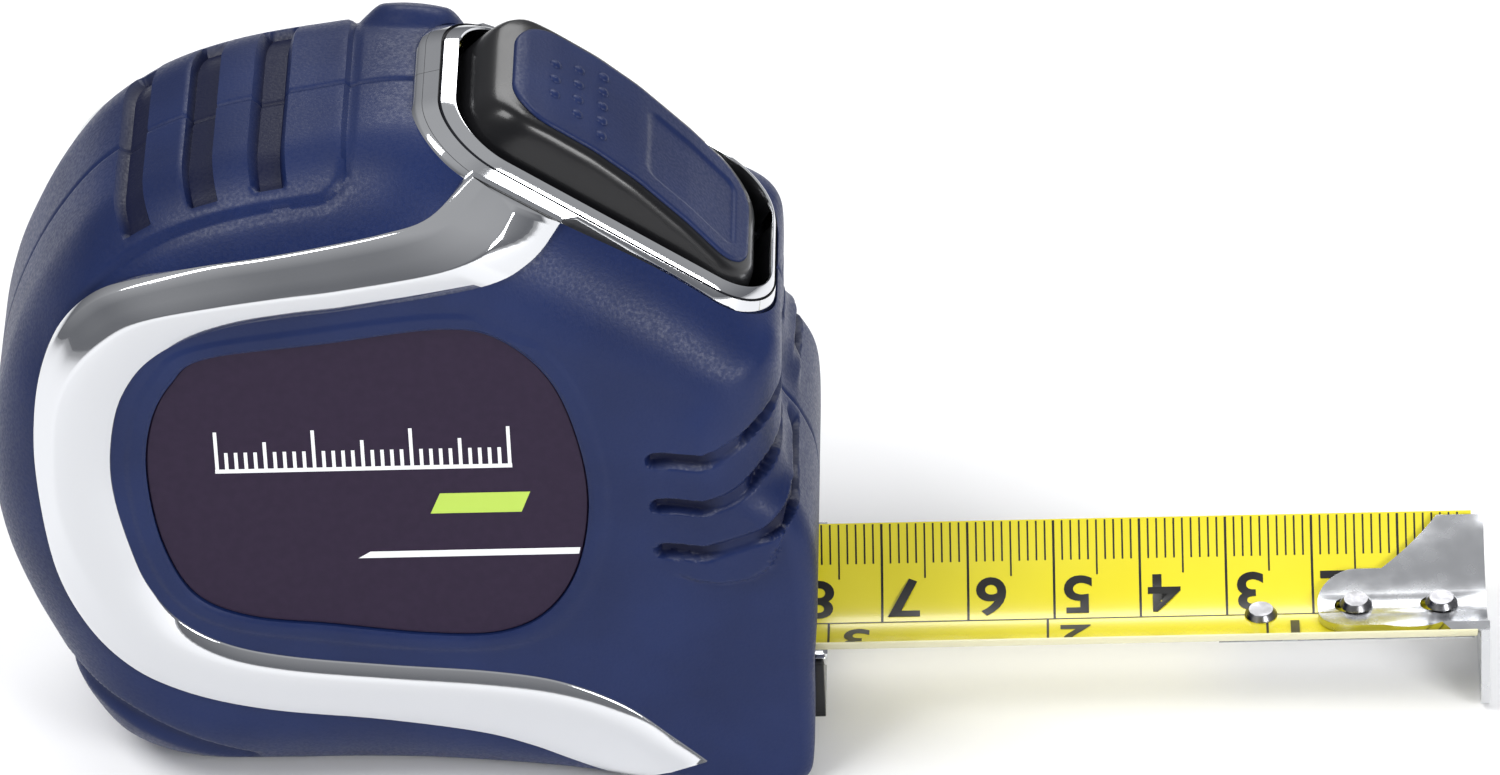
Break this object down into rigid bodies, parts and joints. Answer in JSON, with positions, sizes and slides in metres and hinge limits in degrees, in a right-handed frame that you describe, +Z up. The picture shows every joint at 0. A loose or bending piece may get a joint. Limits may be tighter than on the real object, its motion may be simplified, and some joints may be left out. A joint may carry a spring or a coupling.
{
  "type": "tape measure",
  "caption": "Pocket tape measure: rubber-covered case, thumb release on a sloping bezel, sprung reel, yellow curved steel blade drawn out a little, riveted end hook and belt clip.",
  "frame": {"origin": "on the flat base, under the middle of the case and on its middle plane", "axes": "+X the way the blade comes out, +Z up, +Y towards the belt clip's side"},
  "size_m": [0.1701, 0.0504, 0.0871],
  "materials": {
    "shell": "moulded",
    "rubber": "soft satin with a fine grain",
    "bright_trim": "polished",
    "label": "printed film",
    "button": "polished",
    "steel": "plain",
    "pad": "dull",
    "drum": "moulded",
    "blade": "lacquered with black markings",
    "lip": "moulded"
  },
  "bodies": {
    "case": {"shell_right": "shell", "shell_left": "shell", "grip_right": "rubber", "grip_left": "rubber", "band_right": "bright_trim", "band_left": "bright_trim", "label_right": "label", "label_left": "label", "bezel_right": "bright_trim", "bezel_left": "bright_trim", "button_pin": "steel", "lock_spring": "steel", "brake_pin": "steel", "reel_post": "steel", "power_spring": "steel", "blade_lead": "blade", "mouth_guard": "lip", "mouth_strip": "bright_trim", "belt_clip": "steel", "clip_screw": "steel", "case_screws": "steel"},
    "reel": {"reel_drum": "drum", "drum_cover": "drum", "blade_coil": "blade"},
    "blade": {"blade": "blade", "lone_rivet": "steel", "hook_backing": "steel", "hook_rivets": "steel"},
    "hook": {"hook": "steel"},
    "button": {"lock_button": "button", "button_inlay": "rubber"},
    "brake": {"brake_lever": "shell", "brake_pad": "pad"}
  },
  "joints": [
    {"name": "reel_spin", "type": "hinge", "parent": "case", "child": "reel", "pos_m": [-0.006, 0, 0.0415], "axis": [0, -1, 0], "range_deg": [-156.8, 0]},
    {"name": "blade_slide", "type": "slide", "parent": "case", "child": "blade", "axis": [1, 0, 0], "range_m": [-0.075, 0], "deforming": ["blade_lead"]},
    {"name": "hook_float", "type": "slide", "parent": "blade", "child": "hook", "axis": [1, 0, 0], "range_m": [0, 0.001]},
    {"name": "button_press", "type": "hinge", "parent": "case", "child": "button", "pos_m": [0.0354, 0, 0.057], "axis": [0, -1, 0], "range_deg": [0, 5], "stiffness_Nm_per_rad": 1.2, "deforming": ["lock_spring"]},
    {"name": "brake_lift", "type": "hinge", "parent": "case", "child": "brake", "pos_m": [0.034, 0, 0.022], "axis": [0, 1, 0], "range_deg": [0, 7.7]}
  ],
  "couplings": [
    {"joint": "blade_slide", "follows": "reel_spin", "m_per_rad": 0.0274},
    {"joint": "brake_lift", "follows": "button_press", "ratio": 1.53}
  ]
}
